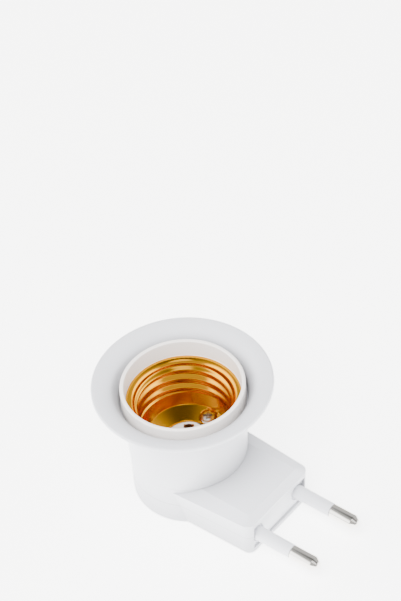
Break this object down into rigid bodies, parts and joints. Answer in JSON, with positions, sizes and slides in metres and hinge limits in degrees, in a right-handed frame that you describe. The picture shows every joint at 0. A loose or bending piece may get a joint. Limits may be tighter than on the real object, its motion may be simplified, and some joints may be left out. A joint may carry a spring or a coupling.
{
  "type": "plug in lamp holder",
  "caption": "White screw lamp socket with a flared rim and an inner sleeve, standing on a flat plug with round sleeved pins, for a lamp straight at a wall outlet.",
  "frame": {"origin": "On the socket's axis, in the flat underside that the holder rests on.", "axes": "+Z is the socket's axis, with its mouth up; +X is the way the plug's pins point; +Y completes the right-handed frame."},
  "size_m": [0.0747, 0.0488, 0.0388],
  "materials": {
    "body_plastic": "satin moulded white",
    "sleeve_plastic": "satin moulded warm white",
    "bridge_plastic": "satin moulded white",
    "carrier_plastic": "matt moulded white",
    "shell_brass": "bright rolled sheet",
    "terminal_brass": "stamped strip",
    "contact_bronze": "spring bronze strip",
    "rivet_bronze": "dark upset head",
    "pin_nickel": "nickel plated, turned",
    "ferrule_tin": "tinned, crimped",
    "screw_nickel": "nickel plated steel",
    "screw_zinc": "zinc plated steel",
    "lead_brown": "soft insulation",
    "lead_blue": "soft insulation"
  },
  "bodies": {
    "holder": {"outer_cup": "body_plastic", "inner_sleeve": "sleeve_plastic", "screw_shell": "shell_brass", "shell_screw_left": "screw_nickel", "shell_screw_right": "screw_nickel", "contact_carrier": "carrier_plastic", "contact_rivet": "rivet_bronze", "live_terminal": "terminal_brass", "neutral_terminal": "terminal_brass", "shell_nut_plate": "terminal_brass", "plug_housing": "body_plastic", "bottom_cover": "body_plastic", "pin_bridge": "bridge_plastic", "pin_left": "pin_nickel", "pin_right": "pin_nickel", "pin_sleeve_left": "bridge_plastic", "pin_sleeve_right": "bridge_plastic", "live_lead": "lead_brown", "neutral_lead": "lead_blue", "live_ferrule": "ferrule_tin", "neutral_ferrule": "ferrule_tin", "cup_screw_front": "screw_zinc", "cup_screw_rear": "screw_zinc", "cover_screw_front": "screw_zinc", "cover_screw_left": "screw_zinc", "cover_screw_right": "screw_zinc"},
    "contact_spring": {"centre_contact": "contact_bronze"}
  },
  "joints": [
    {"name": "contact_flex", "type": "hinge", "parent": "holder", "child": "contact_spring", "pos_m": [-0.0024, 0.0033, 0.0162], "axis": [0.8087, 0.5882, 0], "range_deg": [0, 10], "stiffness_Nm_per_rad": 0.17}
  ]
}
